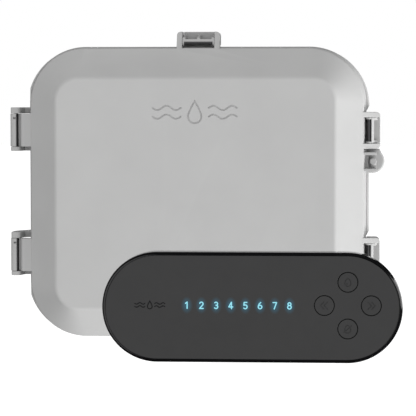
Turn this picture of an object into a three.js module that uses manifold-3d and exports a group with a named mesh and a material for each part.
// Outdoor irrigation controller: a wall-hung weatherproof enclosure with a bevelled, hinged door,
// and a pill-shaped eight-zone controller screwed to the front of that door.
//
// Units are millimetres. Every piece is drawn in the wall frame: x to the right, y up and z out of
// the wall, with the origin at the centre of the back face. The outer group then turns the wall frame
// upright, so that the finished model has +Z up and its front towards -Y.

import * as THREE from 'three';
import { mergeVertices } from 'three/addons/utils/BufferGeometryUtils.js';
import Module from 'manifold-3d';

const wasm = await Module();
wasm.setup();

// ---------------------------------------------------------------- driving dimensions

const GAP = 0.3; // between pieces that touch
const WALL = 3; // enclosure wall

// Levels of the enclosure: width, height, corner radius and distance from the wall.
const BACK = { w: 262, h: 222, r: 36, z: 0 };
const BOX_RIM = { w: 268.4, h: 228.6, r: 43.5, z: 67 };
const FLANGE = { w: 273.6, h: 231.8, r: 46.5, z: 71 };
const SKIRT = { w: 268.8, h: 230.6, r: 45, z: FLANGE.z + GAP };
const DOOR_RIM = { w: 264, h: 229, r: 44, z: 85 };
const PANEL = { w: 220, h: 182, r: 18, z: 105 };
const TONGUE = { w: 258.4, h: 219.4, r: 37, z: 76, thickness: 2 };

// Hinges on the left side.
const HINGE = {
  x: -144.9, z: 78, knuckle: 4.4, pin: 1.6, hole: 2.0, half: 12.9, lip: 0.5, slot: 4.2,
  earTop: 4.8, earBottom: 3.3, earHole: 1.95,
};
const SIDE_CENTRES = [49.6, -49.9]; // heights of the hinges and of the latches opposite them

// Latches: u runs out from the rim, v along it. The lever turns on a pin in two door lugs.
const LATCH = {
  pinU: 4.4, pinZ: 80, pinR: 1.2, pinHole: 1.6,
  lug: 3.9, lugEnd: 13.2, lugBack: 62, lugFront: 84.7, lugCorner: 3.4, lugSlope: 0.445,
  bar: 2.2, leverBack: 59.6, leverFront: 82, leverEnd: 13.6, pull: 2.2, rib: 2.3, ribEnd: 11.4, knuckle: 1.4,
};
const LATCHES = [
  { name: 'upper', top: false, at: SIDE_CENTRES[0], gap: 21.2, bar: 6.1, ribs: [-1, 1] },
  { name: 'lower', top: false, at: SIDE_CENTRES[1], gap: 21.2, bar: 6.1, ribs: [-1, 1] },
  { name: 'top', top: true, at: 1.3, gap: 26.2, bar: 5, ribs: [-1, 0, 1] },
];

// Padlock ear under the upper right latch.
const EAR = { u: 7.8, y: SIDE_CENTRES[0] - 24.8, r: 9.4, back: 60, front: 64 };
const LOCK = { head: 3, shank: 1.6, hole: 2.2, web: 3.6, front: 78 };

// Controller.
const PILL = { x: 45.9, y: -86.2, w: 232, h: 85.4, back: PANEL.z + GAP, front: PANEL.z + GAP + 28 };
const HOUSING = { w: PILL.w - 4, h: PILL.h - 4, wall: 2.2, floor: 2.4, front: PILL.back + 16 };
const BEZEL = { back: PILL.back + 12.2, fillet: 2.4, skirt: 1.6, seat: 5, ledge: 11 };
const FACE = { inset: 5.6, back: PILL.front - 3, front: PILL.front - 0.2 };
const BOARD = { w: 212, h: 66, back: PILL.back + 9, front: PILL.back + 10.6 };
const BUTTON = { x: 73.8, y: 2, pitch: 18, cap: 7.3, hole: 8, flange: 8.9, stem: 2.2, travel: 0.8 };
const DIGIT = { count: 8, x: -50.2, y: 1.6, pitch: 11.32 };
const MAGNET = { x: 60, y: 32.6, r: 4 };
const MOUNT_SCREWS = [[-70, 4], [-70, 30], [50, 4], [50, 30]];
const BOARD_SCREWS = [[-88, -18], [-88, 18], [88, -18], [88, 18]];
const WIRE_HOLE = { x: -10, y: 17, r: 9 };
const ZONE_TERMINALS = { left: -52, right: 40, bottom: -31, top: -20, ways: 12, pitch: 7.6 };

// Inside the enclosure.
const PLATE = { w: 190, h: 150, r: 6, back: 8, front: 9.6, screwX: 84, screwY: 64 };
const CORE = { x: 50, y: 20, w: 60, h: 50, back: 21, front: 47 };
const STRIP = { x: -38, y: -38, ways: 9, pitch: 10 };
const ENTRY = { low: -115.3, high: -107.5, left: -102, right: -22, back: 18, front: 58, z: 38 };
const PLUG = { x: -82, r: 11 };
const GROMMET = { x: -42, r: 9 };
const KEYHOLE = { x: 104, y: 84 };

// ---------------------------------------------------------------- solids

function solid(shape) {
  if (shape instanceof wasm.Manifold) return shape;
  const bare = shape.clone();
  bare.deleteAttribute('normal');
  bare.deleteAttribute('uv');
  const merged = mergeVertices(bare, 1e-4);
  const vertProperties = new Float32Array(merged.attributes.position.array);
  const triVerts = new Uint32Array(merged.index.array);
  return new wasm.Manifold(new wasm.Mesh({ numProp: 3, vertProperties, triVerts }));
}

function join(...shapes) {
  return shapes.map(solid).reduce((sum, next) => sum.add(next));
}

function cut(body, ...tools) {
  return tools.map(solid).reduce((rest, tool) => rest.subtract(tool), solid(body));
}

function geometryOf(shape) {
  if (shape instanceof THREE.BufferGeometry) return shape;
  const mesh = shape.getMesh();
  const geometry = new THREE.BufferGeometry();
  geometry.setAttribute('position', new THREE.BufferAttribute(new Float32Array(mesh.vertProperties), 3));
  geometry.setIndex(new THREE.BufferAttribute(new Uint32Array(mesh.triVerts), 1));
  return geometry;
}

function box(x0, x1, y0, y1, z0, z1) {
  const geometry = new THREE.BoxGeometry(x1 - x0, y1 - y0, z1 - z0);
  return geometry.translate((x0 + x1) / 2, (y0 + y1) / 2, (z0 + z1) / 2);
}

// A round bar along z.
function post(x, y, r, z0, z1, sides = 16) {
  const geometry = new THREE.CylinderGeometry(r, r, z1 - z0, sides);
  return geometry.rotateX(Math.PI / 2).translate(x, y, (z0 + z1) / 2);
}

// A round bar along y.
function pole(x, z, r, y0, y1, sides = 12) {
  const geometry = new THREE.CylinderGeometry(r, r, y1 - y0, sides);
  return geometry.translate(x, (y0 + y1) / 2, z);
}

function polygon(points) {
  return new THREE.Shape(points.map(([a, b]) => new THREE.Vector2(a, b)));
}

// A flat shape in x and y, thickened from z0 to z1.
function plate(shape, z0, z1, curveSegments = 8) {
  const geometry = new THREE.ExtrudeGeometry(shape, { depth: z1 - z0, bevelEnabled: false, curveSegments });
  return geometry.translate(0, 0, z0);
}

// A flat shape in x and z, thickened from y0 to y1.
function slice(shape, y0, y1, curveSegments = 6) {
  const geometry = new THREE.ExtrudeGeometry(shape, { depth: y1 - y0, bevelEnabled: false, curveSegments });
  return geometry.rotateX(Math.PI / 2).translate(0, y1, 0);
}

function roundedRect(w, h, r) {
  const shape = new THREE.Shape();
  const x = w / 2 - r;
  const y = h / 2 - r;
  shape.absarc(x, y, r, 0, Math.PI / 2);
  shape.absarc(-x, y, r, Math.PI / 2, Math.PI);
  shape.absarc(-x, -y, r, Math.PI, Math.PI * 1.5);
  shape.absarc(x, -y, r, Math.PI * 1.5, Math.PI * 2);
  shape.closePath();
  return shape;
}

// The corner points of a rounded rectangle. All rings with the same steps match, point for point.
function ring({ w, h, r }, steps) {
  const points = [];
  for (let corner = 0; corner < 4; corner += 1) {
    const cx = (corner === 0 || corner === 3 ? 1 : -1) * (w / 2 - r);
    const cy = (corner < 2 ? 1 : -1) * (h / 2 - r);
    for (let step = 0; step <= steps; step += 1) {
      const angle = ((corner + step / steps) * Math.PI) / 2;
      const point = new THREE.Vector2(cx + r * Math.cos(angle), cy + r * Math.sin(angle));
      const last = points[points.length - 1];
      if (!last || last.distanceTo(point) > 1e-3) points.push(point);
    }
  }
  if (points[0].distanceTo(points[points.length - 1]) < 1e-3) points.pop();
  return points;
}

// A closed body through rounded rectangles stacked along z.
function loft(levels, steps = 8) {
  const rings = levels.map((level) => ring(level, steps));
  const count = rings[0].length;
  const positions = rings.flatMap((points, k) => points.flatMap((p) => [p.x, p.y, levels[k].z]));
  const index = [];
  for (let k = 0; k + 1 < rings.length; k += 1) {
    for (let i = 0; i < count; i += 1) {
      const a = k * count + i;
      const b = k * count + ((i + 1) % count);
      index.push(a, b, b + count, a, b + count, a + count);
    }
  }
  const top = (rings.length - 1) * count;
  for (let i = 1; i + 1 < count; i += 1) {
    index.push(0, i + 1, i);
    index.push(top, top + i, top + i + 1);
  }
  const geometry = new THREE.BufferGeometry();
  geometry.setAttribute('position', new THREE.Float32BufferAttribute(positions, 3));
  geometry.setIndex(index);
  return geometry;
}

// A level shifted along z, and made narrower by the same amount all round.
function inset(level, by, z = level.z) {
  return { w: level.w - 2 * by, h: level.h - 2 * by, r: level.r - by, z };
}

function pillLevel(w, h, z) {
  return { w, h, r: h / 2, z };
}

function mesh(name, shape, material) {
  const made = new THREE.Mesh(geometryOf(shape), material);
  made.name = name;
  return made;
}

// ---------------------------------------------------------------- materials

function plastic(color, roughness) {
  return new THREE.MeshStandardMaterial({ color, roughness, metalness: 0 });
}

function metal(color, roughness) {
  return new THREE.MeshStandardMaterial({ color, roughness, metalness: 1 });
}

const greyAbs = () => plastic(0xbababa, 0.55);
const rubber = () => plastic(0x232323, 0.8);
const steel = () => metal(0xb9bcc0, 0.35);
const blackSteel = () => metal(0x2a2b2d, 0.5);

// ---------------------------------------------------------------- latches

// Moves a shape drawn in u, v and z to its place on the rim of the door.
function onRim(shape, latch) {
  if (latch.top) return shape.rotateZ(Math.PI / 2).translate(latch.at, DOOR_RIM.h / 2, 0);
  return shape.translate(DOOR_RIM.w / 2, latch.at, 0);
}

function latchHalf(latch) {
  return latch.gap / 2 + LATCH.lug;
}

// One lug at each end of the lever, with its outer corner rounded and its front sloping back.
function latchLug(latch, side) {
  const inner = (latch.gap / 2) * side;
  const outer = latchHalf(latch) * side;
  const corner = LATCH.lugCorner;
  const shape = new THREE.Shape();
  shape.moveTo(-1.5, inner);
  shape.lineTo(LATCH.lugEnd, inner);
  shape.lineTo(LATCH.lugEnd, outer - corner * 0.9 * side);
  shape.quadraticCurveTo(LATCH.lugEnd, outer, LATCH.lugEnd - corner, outer);
  shape.lineTo(-1.5, outer);
  shape.closePath();
  const low = Math.min(inner, outer) - 1;
  const high = Math.max(inner, outer) + 1;
  const { lugFront, lugSlope } = LATCH;
  const slope = polygon([[1.5, lugFront], [15, lugFront + 0.5], [15, lugFront - 13.5 * lugSlope]]);
  return cut(
    plate(shape, LATCH.lugBack, lugFront, 5),
    slice(slope, low, high),
    box(-2, 3, low, high, LATCH.lugBack - 1, SKIRT.z),
    pole(LATCH.pinU, LATCH.pinZ, LATCH.pinHole, low - 1, high + 1),
  );
}

// A bar that hooks over the catch, a pull along its back edge, a gusset at each rib and two knuckles.
function latchLever(latch) {
  const half = latch.gap / 2 - 0.4;
  const bar = box(latch.bar, latch.bar + LATCH.bar, -half, half, LATCH.leverBack, LATCH.leverFront);
  const pull = box(latch.bar, LATCH.leverEnd, -half, half, LATCH.leverBack, LATCH.leverBack + LATCH.pull);
  const ribShape = polygon([
    [latch.bar + 1, LATCH.leverFront],
    [latch.bar + LATCH.bar, LATCH.leverFront],
    [LATCH.ribEnd, LATCH.leverBack + 5],
    [LATCH.ribEnd, LATCH.leverBack],
    [latch.bar + 1, LATCH.leverBack],
  ]);
  const ribs = latch.ribs.map((side) => {
    const centre = side * (half - LATCH.rib / 2);
    return slice(ribShape, centre - LATCH.rib / 2, centre + LATCH.rib / 2);
  });
  const knuckles = [-1, 1].flatMap((side) => {
    const centre = side * (half - LATCH.knuckle / 2);
    const low = centre - LATCH.knuckle / 2;
    const high = centre + LATCH.knuckle / 2;
    return [
      pole(LATCH.pinU, LATCH.pinZ, 2.5, low, high, 16),
      box(LATCH.pinU, latch.bar + 1, low, high, LATCH.pinZ - 2.4, LATCH.leverFront),
    ];
  });
  return cut(
    join(bar, pull, ...ribs, ...knuckles),
    pole(LATCH.pinU, LATCH.pinZ, LATCH.pinHole, -half - 1, half + 1),
  );
}

// ---------------------------------------------------------------- back box

// An ear of the hinge, reaching from the side wall out to the pin.
function hingeEar(y0, y1) {
  const { x, z } = HINGE;
  const wall = 1.7 - BOX_RIM.w / 2;
  const shape = new THREE.Shape();
  shape.moveTo(wall, 44);
  shape.lineTo(x - 1.5, z - 16);
  shape.quadraticCurveTo(x - 3.9, z - 10, x - 3.9, z - 5);
  shape.lineTo(x - 3.9, z + 2);
  shape.quadraticCurveTo(x - 3.9, z + 4.6, x, z + 4.6);
  shape.quadraticCurveTo(x + 3.9, z + 4.6, x + 3.9, z + 1);
  shape.lineTo(x + 6, z - 6.5);
  shape.lineTo(x + 8, z - 7.2);
  shape.lineTo(wall, z - 7.2);
  shape.closePath();
  return cut(slice(shape, y0, y1, 5), pole(x, z, HINGE.earHole, y0 - 1, y1 + 1));
}

function hingeEars() {
  return SIDE_CENTRES.flatMap((y) => {
    const inner = HINGE.half + 0.4;
    return [hingeEar(y + inner, y + inner + HINGE.earTop), hingeEar(y - inner - HINGE.earBottom, y - inner)];
  });
}

// Where the flange stops short of a latch, with a taper at each open end.
function flangeNotch(latch) {
  const half = latchHalf(latch);
  const low = latch.name === 'upper' ? EAR.y - latch.at - EAR.r : -half - 1;
  const taper = latch.name === 'upper' ? 0.2 : 6;
  const shape = polygon([
    [2.45, low],
    [6, low - taper],
    [6, half + 7],
    [2.45, half + 1],
  ]);
  return onRim(plate(shape, BOX_RIM.z - 1, FLANGE.z + 1), latch);
}

// On the hinge side the flange doesn't stand out past the door.
function hingeSideTrim() {
  return box(-FLANGE.w, -SKIRT.w / 2, -FLANGE.h, FLANGE.h, BOX_RIM.z - 1, FLANGE.z + 1);
}

function catchLedge(latch) {
  const half = latch.gap / 2 - 0.5;
  const reach = latch.bar - 0.5;
  const top = BOX_RIM.z - 0.6;
  const hook = [[reach, top - 3.2], [reach, top - 0.8], [reach - 0.8, top]];
  const shape = polygon([[-2, top - 6.4], ...hook, [-2, top]]);
  return onRim(slice(shape, -half, half), latch);
}

function padlockEar() {
  const rim = DOOR_RIM.w / 2;
  const top = SIDE_CENTRES[0] - latchHalf(LATCHES[0]) - 0.4;
  const plateShape = new THREE.Shape();
  plateShape.moveTo(rim + 0.5, EAR.y - EAR.r);
  plateShape.lineTo(rim + EAR.u, EAR.y - EAR.r);
  plateShape.absarc(rim + EAR.u, EAR.y, EAR.r, -Math.PI / 2, 0.7);
  plateShape.lineTo(rim + LATCH.lugEnd, top);
  plateShape.lineTo(rim + 0.5, top);
  plateShape.closePath();
  const ear = plate(plateShape, EAR.back, EAR.front, 16);
  return cut(ear, post(rim + EAR.u, EAR.y, LOCK.hole, EAR.back - 1, EAR.front + 1));
}

function keyholes() {
  return [-1, 1].flatMap((sx) => [-1, 1].map((sy) => {
    const x = sx * KEYHOLE.x;
    const y = sy * KEYHOLE.y;
    return join(post(x, y, 4.6, -1, WALL + 1, 12), box(x - 2.4, x + 2.4, y, y + 9, -1, WALL + 1));
  }));
}

function plateBosses() {
  return [-1, 1].flatMap((sx) => [-1, 1].map((sy) => (
    cut(
      post(sx * PLATE.screwX, sy * PLATE.screwY, 6, WALL - 1, PLATE.back - GAP),
      post(sx * PLATE.screwX, sy * PLATE.screwY, 1.9, WALL + 0.8, PLATE.back, 10),
    )
  )));
}

function backBox() {
  const rimCavity = { w: TONGUE.w - 2 * TONGUE.thickness, h: TONGUE.h - 2 * TONGUE.thickness, r: 35 };
  const outer = join(
    loft([BACK, BOX_RIM]),
    loft([{ ...FLANGE, z: BOX_RIM.z - 0.01 }, FLANGE]),
    loft([{ ...TONGUE, z: 60 }, TONGUE]),
  );
  const notched = cut(outer, hingeSideTrim(), ...LATCHES.map(flangeNotch));
  const shell = join(notched, ...hingeEars(), ...LATCHES.map(catchLedge), padlockEar());
  const cavity = loft([
    inset(BACK, WALL, WALL),
    inset(BOX_RIM, WALL, 58),
    { ...rimCavity, z: 64 },
    { ...rimCavity, z: TONGUE.z + 1 },
  ]);
  const entryPad = box(ENTRY.left, ENTRY.right, ENTRY.low, ENTRY.high, ENTRY.back, ENTRY.front);
  return cut(
    join(cut(shell, cavity), ...plateBosses(), entryPad),
    ...keyholes(),
    pole(PLUG.x, ENTRY.z, PLUG.r, ENTRY.low - 9, ENTRY.high + 5, 24),
    pole(GROMMET.x, ENTRY.z, GROMMET.r, ENTRY.low - 9, ENTRY.high + 5, 24),
  );
}

// ---------------------------------------------------------------- inside the enclosure

function doorGasket() {
  const low = TONGUE.z + GAP;
  const high = low + 2.7;
  const inner = inset(TONGUE, TONGUE.thickness);
  const body = loft([{ ...TONGUE, z: low }, inset(TONGUE, 0.3, high)]);
  return cut(body, loft([{ ...inner, z: low - 1 }, { ...inner, z: high + 1 }]));
}

function mountingPlate() {
  const holes = [-1, 1].flatMap((sx) => [-1, 1].map((sy) => (
    post(sx * PLATE.screwX, sy * PLATE.screwY, 2.1, PLATE.back - 1, PLATE.front + 1, 12)
  )));
  return cut(plate(roundedRect(PLATE.w, PLATE.h, PLATE.r), PLATE.back, PLATE.front, 4), ...holes);
}

// A pan-head screw along z, with its head at the front.
function screw(x, y, { head, shank, under, headHeight, tip }) {
  return join(
    post(x, y, head, under, under + headHeight, 16),
    post(x, y, shank, tip, under + 0.5, 10),
  );
}

function plateScrews() {
  const size = { head: 4, shank: 1.6, under: PLATE.front + GAP, headHeight: 2.2, tip: WALL + 1.5 };
  return [-1, 1].flatMap((sx) => [-1, 1].map((sy) => screw(sx * PLATE.screwX, sy * PLATE.screwY, size)));
}

function transformerCore() {
  const { x, y, w, h, back, front } = CORE;
  const windows = [-1, 1].map((side) => (
    box(x + side * 15.5 - 5.5, x + side * 15.5 + 5.5, y - 15, y + 15, back - 1, front + 1)
  ));
  const feet = [-1, 1].flatMap((sx) => [-1, 1].map((sy) => (
    post(x + sx * 26, y + sy * 21, 3, PLATE.front + GAP, back + 1, 12)
  )));
  return join(cut(box(x - w / 2, x + w / 2, y - h / 2, y + h / 2, back, front), ...windows), ...feet);
}

function transformerCoil() {
  const { x, y, back, front } = CORE;
  return cut(
    box(x - 20.5, x + 20.5, y - 14.5, y + 14.5, back - 9, front + 9),
    box(x - 10.5, x + 10.5, y - 20, y + 20, back - 0.5, front + 0.5),
  );
}

// Screw terminals between barriers, for the wires to the valves.
function terminalStrip() {
  const half = (STRIP.ways * STRIP.pitch) / 2;
  const low = PLATE.front + GAP;
  const base = box(STRIP.x - half - 4, STRIP.x + half + 4, STRIP.y - 10, STRIP.y + 10, low, low + 9);
  const barriers = Array.from({ length: STRIP.ways + 1 }, (_, i) => {
    const x = STRIP.x - half + i * STRIP.pitch;
    return box(x - 0.8, x + 0.8, STRIP.y - 10, STRIP.y + 10, low, low + 15);
  });
  return join(base, ...barriers);
}

function lathe(points, sides = 24) {
  return new THREE.LatheGeometry(points.map(([r, y]) => new THREE.Vector2(r, y)), sides);
}

// Closes the conduit entry: a domed head below the pad and a sleeve through it.
function conduitPlug() {
  const profile = [
    [0, ENTRY.low - 3], [11.5, ENTRY.low - 3], [13.6, ENTRY.low - 1.6], [13.6, ENTRY.low - GAP],
    [10.5, ENTRY.low - GAP], [10.5, ENTRY.high + 4.6], [0, ENTRY.high + 4.6],
  ];
  return lathe(profile).translate(PLUG.x, 0, ENTRY.z);
}

function conduitNut() {
  const profile = [
    [10.9, ENTRY.high + GAP], [15, ENTRY.high + GAP], [15, ENTRY.high + 3.8], [10.9, ENTRY.high + 3.8],
    [10.9, ENTRY.high + GAP],
  ];
  return lathe(profile, 12).translate(PLUG.x, 0, ENTRY.z);
}

function cableGrommet() {
  const profile = [
    [5, ENTRY.low - 2.8], [12, ENTRY.low - 2.8], [12, ENTRY.low - GAP], [8.6, ENTRY.low - GAP],
    [8.6, ENTRY.high + GAP], [12, ENTRY.high + GAP], [12, ENTRY.high + 2.6], [5, ENTRY.high + 2.6],
    [5, ENTRY.low - 2.8],
  ];
  return lathe(profile).translate(GROMMET.x, 0, ENTRY.z);
}

// A headless pin, its ends just inside the ears.
function hingePin(y) {
  const top = y + HINGE.half + 0.4 + HINGE.earTop;
  const bottom = y - HINGE.half - 0.4 - HINGE.earBottom;
  return pole(HINGE.x, HINGE.z, HINGE.pin, bottom + 0.3, top - 0.3, 16);
}

// ---------------------------------------------------------------- door

// A C-shaped knuckle round the pin, open at the front, with a flat tab across to the door.
function hingeKnuckle(y) {
  const { x, z, knuckle, hole, half, lip, slot } = HINGE;
  const body = join(
    pole(x, z, knuckle, y - half, y + half, 20),
    box(x - knuckle, x + lip, y - half, y + half, z, z + knuckle),
    box(x + slot, 0.8 - DOOR_RIM.w / 2, y - half, y + half, z + 1.4, LATCH.lugFront),
    box(x + 2.6, x + 7, y - half, y + half, z - 3, z + 2),
  );
  return cut(
    body,
    pole(x, z, hole, y - half - 1, y + half + 1, 16),
    box(x + lip, x + slot, y - half - 1, y + half + 1, z, z + 8),
  );
}

// The two ribs and the web that carry the lock screw in front of the padlock ear.
function lockCarrier() {
  const rim = DOOR_RIM.w / 2;
  const end = rim + 10.4;
  const back = EAR.front + 0.5;
  const half = 7.6;
  const ribs = [-1, 1].map((side) => {
    const y = EAR.y + side * (half - 1.1);
    return box(rim - 1.5, end, y - 1.1, y + 1.1, back, LATCH.lugFront - 0.5);
  });
  const web = box(rim, end, EAR.y - half, EAR.y + half, back, back + LOCK.web);
  const root = box(rim - 1, rim + 4.2, EAR.y - half, EAR.y + half, back, back + 10.5);
  return cut(
    join(...ribs, web, root),
    box(rim - 2, rim + 2.8, EAR.y - half - 1, EAR.y + half + 1, back - 1, SKIRT.z),
    post(rim + EAR.u, EAR.y, LOCK.hole, back - 1, back + LOCK.web + 1),
  );
}

function doorShell() {
  const outer = loft([SKIRT, DOOR_RIM, PANEL]);
  const extras = [
    ...SIDE_CENTRES.map(hingeKnuckle),
    ...LATCHES.flatMap((latch) => [-1, 1].map((side) => onRim(geometryOf(latchLug(latch, side)), latch))),
    lockCarrier(),
  ];
  const seal = TONGUE.z + 3.3;
  const cavity = loft([
    inset(SKIRT, WALL, SKIRT.z - 1),
    inset(DOOR_RIM, WALL - 0.6, seal),
    inset(TONGUE, 3.2, seal),
    inset(TONGUE, 3.2, DOOR_RIM.z - 1),
    inset(PANEL, 2, PANEL.z - 3.2),
  ]);
  const panelHoles = [
    ...MOUNT_SCREWS.map(([x, y]) => post(x, y, 2.2, PANEL.z - 6, PANEL.z + 1, 12)),
    post(WIRE_HOLE.x, WIRE_HOLE.y, WIRE_HOLE.r, PANEL.z - 6, PANEL.z + 1, 24),
  ];
  return cut(join(outer, ...extras), cavity, ...panelHoles.map(place));
}

function latchPin(latch) {
  const end = latchHalf(latch) - 0.3;
  return onRim(pole(LATCH.pinU, LATCH.pinZ, LATCH.pinR, -end, end), latch);
}

function lockScrew() {
  const x = DOOR_RIM.w / 2 + EAR.u;
  const seat = EAR.front + 0.5 + LOCK.web + GAP;
  return join(
    post(x, EAR.y, LOCK.head, seat, LOCK.front, 20),
    post(x, EAR.y, LOCK.shank, EAR.back + 0.5, seat + 1),
  );
}

// ---------------------------------------------------------------- controller

function place(shape) {
  return shape.translate(PILL.x, PILL.y, 0);
}

// Seals the wires' way through the door and the controller's back.
function wireGrommet() {
  const inside = PANEL.z - 3.2 - GAP;
  const floor = PILL.back + HOUSING.floor + GAP;
  const profile = [
    [6, inside - 2.6], [11.5, inside - 2.6], [11.5, inside], [8.6, inside], [8.6, floor], [11.5, floor],
    [11.5, floor + 2], [6, floor + 2], [6, inside - 2.6],
  ];
  return place(lathe(profile).rotateX(Math.PI / 2).translate(WIRE_HOLE.x, WIRE_HOLE.y, 0));
}

// A screw from inside the door into the controller's housing, so its head is at the back.
function mountScrew([x, y]) {
  const under = PANEL.z - 3.2 - GAP;
  return join(
    post(PILL.x + x, PILL.y + y, 3.6, under - 2.4, under, 16),
    post(PILL.x + x, PILL.y + y, 1.7, under - 0.5, PILL.back + 7, 10),
  );
}

function corners(x, y) {
  return [-1, 1].flatMap((sx) => [-1, 1].map((sy) => [sx * x, sy * y]));
}

function controllerHousing() {
  const floor = PILL.back + HOUSING.floor;
  const shell = cut(
    loft([
      pillLevel(HOUSING.w - 3, HOUSING.h - 3, PILL.back),
      pillLevel(HOUSING.w, HOUSING.h, PILL.back + 1.5),
      pillLevel(HOUSING.w, HOUSING.h, HOUSING.front),
    ], 10),
    loft([
      pillLevel(HOUSING.w - 2 * HOUSING.wall, HOUSING.h - 2 * HOUSING.wall, floor),
      pillLevel(HOUSING.w - 2 * HOUSING.wall, HOUSING.h - 2 * HOUSING.wall, HOUSING.front + 1),
    ], 10),
  );
  const bosses = [
    ...BOARD_SCREWS.map(([x, y]) => post(x, y, 4, floor - 1, BOARD.back - GAP, 12)),
    ...MOUNT_SCREWS.map(([x, y]) => post(x, y, 4.2, floor - 1, PILL.back + 7.8, 12)),
    ...corners(MAGNET.x, MAGNET.y).map(([x, y]) => post(x, y, 4.4, floor - 1, HOUSING.front - 2.3, 12)),
  ];
  const holes = [
    ...BOARD_SCREWS.map(([x, y]) => post(x, y, 1.7, PILL.back + 3.5, BOARD.back, 10)),
    ...MOUNT_SCREWS.map(([x, y]) => post(x, y, 2, PILL.back - 1, PILL.back + 7.4, 10)),
    post(WIRE_HOLE.x, WIRE_HOLE.y, WIRE_HOLE.r, PILL.back - 1, floor + 1, 24),
  ];
  return place(geometryOf(cut(join(shell, ...bosses), ...holes)));
}

function mainBoard() {
  const board = loft([pillLevel(BOARD.w, BOARD.h, BOARD.back), pillLevel(BOARD.w, BOARD.h, BOARD.front)], 8);
  const through = (x, y, r, sides) => post(x, y, r, BOARD.back - 1, BOARD.front + 1, sides);
  const notches = corners(MAGNET.x, MAGNET.y).map(([x, y]) => through(x, y, 5.2, 12));
  const holes = BOARD_SCREWS.map(([x, y]) => through(x, y, 1.8, 10));
  return place(geometryOf(cut(board, ...notches, ...holes, through(WIRE_HOLE.x, WIRE_HOLE.y, 7, 16))));
}

function boardScrew([x, y]) {
  const size = { head: 2.6, shank: 1.4, under: BOARD.front + GAP, headHeight: 1.8, tip: PILL.back + 4 };
  return screw(PILL.x + x, PILL.y + y, size);
}

function strikeDisc([x, y]) {
  return place(post(x, y, MAGNET.r, HOUSING.front - 2, HOUSING.front - 0.8, 16));
}

function magnet([x, y]) {
  return place(post(x, y, MAGNET.r, HOUSING.front + 0.5, HOUSING.front + 2.7, 16));
}

function buttonPlaces() {
  const { x, y, pitch } = BUTTON;
  return { top: [x, y + pitch], left: [x - pitch, y], right: [x + pitch, y], bottom: [x, y - pitch] };
}

function tactSwitch([x, y]) {
  const low = BOARD.front + GAP;
  return place(geometryOf(join(
    box(x - 3.1, x + 3.1, y - 3.1, y + 3.1, low, low + 3),
    post(x, y, 1.6, low + 2.5, low + 3.6, 12),
  )));
}

function buttonCap([x, y]) {
  const step = FACE.back - 0.4;
  return place(geometryOf(join(
    post(x, y, BUTTON.cap, step - 0.5, FACE.front, 28),
    post(x, y, BUTTON.flange, step - 1.3, step, 20),
    post(x, y, BUTTON.stem, BOARD.front + GAP + 3.6 + BUTTON.travel + GAP, step - 1, 12),
  )));
}

// One light pipe behind each digit, on a common bar.
function lightGuide() {
  const low = BOARD.front + GAP;
  const right = DIGIT.x + (DIGIT.count - 1) * DIGIT.pitch;
  const bar = box(DIGIT.x - 5, right + 5, DIGIT.y - 5, DIGIT.y + 5, low, low + 3);
  const pipes = Array.from({ length: DIGIT.count }, (_, i) => {
    const x = DIGIT.x + i * DIGIT.pitch;
    return box(x - 3.2, x + 3.2, DIGIT.y - 4.2, DIGIT.y + 4.2, low + 2, FACE.back - 0.5);
  });
  return place(geometryOf(join(bar, ...pipes)));
}

// One block of spring terminals, their wire mouths facing down.
function zoneTerminals() {
  const low = BOARD.front + GAP;
  const { left, right, bottom, top, ways, pitch } = ZONE_TERMINALS;
  const body = box(left, right, bottom, top, low, low + 10);
  const mouths = Array.from({ length: ways }, (_, i) => {
    const x = left + 4 + i * pitch;
    return box(x - 1.8, x + 1.8, bottom - 1, bottom + 5, low + 2, low + 5.6);
  });
  return place(geometryOf(cut(body, ...mouths)));
}

function radioModule() {
  return place(box(-86, -62, -12, 8, BOARD.front + GAP, BOARD.front + 3.5));
}

function capacitor() {
  return place(post(-76, 20, 5, BOARD.front + GAP, BOARD.front + 11, 16));
}

// The glossy rim: a skirt over the housing, a ledge for the face panel and a pad for each magnet.
function frontBezel() {
  const { w, h, front } = PILL;
  const { back, fillet, skirt, seat, ledge } = BEZEL;
  const edge = Array.from({ length: 5 }, (_, i) => {
    const angle = (i / 4) * (Math.PI / 2);
    const inward = fillet * (1 - Math.cos(angle));
    return pillLevel(w - 2 * inward, h - 2 * inward, front - fillet * (1 - Math.sin(angle)));
  });
  const body = loft([pillLevel(w - 1, h - 1, back), pillLevel(w, h, back + 0.5), ...edge], 12);
  const opening = loft([
    pillLevel(w - 2 * skirt, h - 2 * skirt, back - 1),
    pillLevel(w - 2 * skirt, h - 2 * skirt, FACE.back - 2),
    pillLevel(w - ledge, h - ledge, FACE.back - 2),
    pillLevel(w - ledge, h - ledge, FACE.back - GAP),
    pillLevel(w - seat, h - seat, FACE.back - GAP),
    pillLevel(w - seat, h - seat, front + 1),
  ], 12);
  const low = HOUSING.front + 3;
  const pads = corners(MAGNET.x, 1).map(([x, side]) => {
    const reach = [28, h / 2 - 1.2].map((y) => y * side).sort((a, b) => a - b);
    return box(x - 5, x + 5, reach[0], reach[1], low, low + 2);
  });
  return place(geometryOf(join(cut(body, opening), ...pads)));
}

function facePanel() {
  const w = PILL.w - FACE.inset;
  const h = PILL.h - FACE.inset;
  const panel = loft([pillLevel(w, h, FACE.back), pillLevel(w, h, FACE.front)], 12);
  const holes = Object.values(buttonPlaces()).map(([x, y]) => (
    post(x, y, BUTTON.hole, FACE.back - 1, FACE.front + 1, 28)
  ));
  return place(geometryOf(cut(panel, ...holes)));
}

// ---------------------------------------------------------------- assembly

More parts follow.
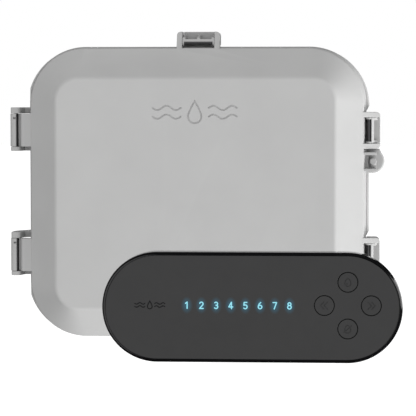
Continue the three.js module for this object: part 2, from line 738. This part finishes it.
function enclosureGroup() {
  const group = new THREE.Group();
  group.add(
    mesh('back_box', backBox(), greyAbs()),
    mesh('door_gasket', doorGasket(), rubber()),
    mesh('mounting_plate', mountingPlate(), metal(0xa9adb0, 0.45)),
    mesh('transformer_core', transformerCore(), metal(0x55585c, 0.5)),
    mesh('transformer_coil', transformerCoil(), plastic(0xb98a2e, 0.5)),
    mesh('terminal_strip', terminalStrip(), plastic(0x1e1e1e, 0.5)),
    mesh('conduit_plug', conduitPlug(), plastic(0x9a9a9a, 0.5)),
    mesh('conduit_nut', conduitNut(), metal(0xb0b2b4, 0.4)),
    mesh('cable_grommet', cableGrommet(), rubber()),
    mesh('hinge_pin_upper', hingePin(SIDE_CENTRES[0]), blackSteel()),
    mesh('hinge_pin_lower', hingePin(SIDE_CENTRES[1]), blackSteel()),
    ...plateScrews().map((shape, i) => mesh(`plate_screw_${i + 1}`, shape, steel())),
  );
  return group;
}

function doorGroup() {
  const group = new THREE.Group();
  group.add(
    mesh('door_shell', doorShell(), greyAbs()),
    mesh('lock_screw', lockScrew(), plastic(0xc2c2c2, 0.45)),
    mesh('wire_grommet', wireGrommet(), rubber()),
    ...LATCHES.map((latch) => mesh(`latch_pin_${latch.name}`, latchPin(latch), blackSteel())),
    ...LATCHES.map((latch) => (
      mesh(`latch_lever_${latch.name}`, onRim(geometryOf(latchLever(latch)), latch), greyAbs())
    )),
    ...MOUNT_SCREWS.map((at, i) => mesh(`mount_screw_${i + 1}`, mountScrew(at), steel())),
  );
  return group;
}

function controllerGroup() {
  const group = new THREE.Group();
  const magnets = corners(MAGNET.x, MAGNET.y);
  group.add(
    mesh('controller_housing', controllerHousing(), plastic(0x1b1b1c, 0.4)),
    mesh('main_board', mainBoard(), plastic(0x14532d, 0.5)),
    mesh('light_guide', lightGuide(), plastic(0xd8e8f0, 0.2)),
    mesh('zone_terminals', zoneTerminals(), plastic(0x2f7d4f, 0.5)),
    mesh('radio_module', radioModule(), metal(0xc0c2c4, 0.4)),
    mesh('capacitor', capacitor(), plastic(0x20242c, 0.3)),
    mesh('front_bezel', frontBezel(), plastic(0x101011, 0.12)),
    mesh('face_panel', facePanel(), plastic(0x3c3c3d, 0.6)),
    ...BOARD_SCREWS.map((at, i) => mesh(`board_screw_${i + 1}`, boardScrew(at), steel())),
    ...magnets.map((at, i) => mesh(`strike_disc_${i + 1}`, strikeDisc(at), steel())),
    ...magnets.map((at, i) => mesh(`magnet_${i + 1}`, magnet(at), metal(0xcfd0d2, 0.25))),
  );
  for (const [name, at] of Object.entries(buttonPlaces())) {
    group.add(mesh(`tact_switch_${name}`, tactSwitch(at), plastic(0x222222, 0.5)));
    group.add(mesh(`button_${name}`, buttonCap(at), plastic(0x3c3c3d, 0.6)));
  }
  return group;
}

const controller = new THREE.Group();
controller.add(enclosureGroup(), doorGroup(), controllerGroup());
controller.rotation.x = Math.PI / 2;

export default controller;
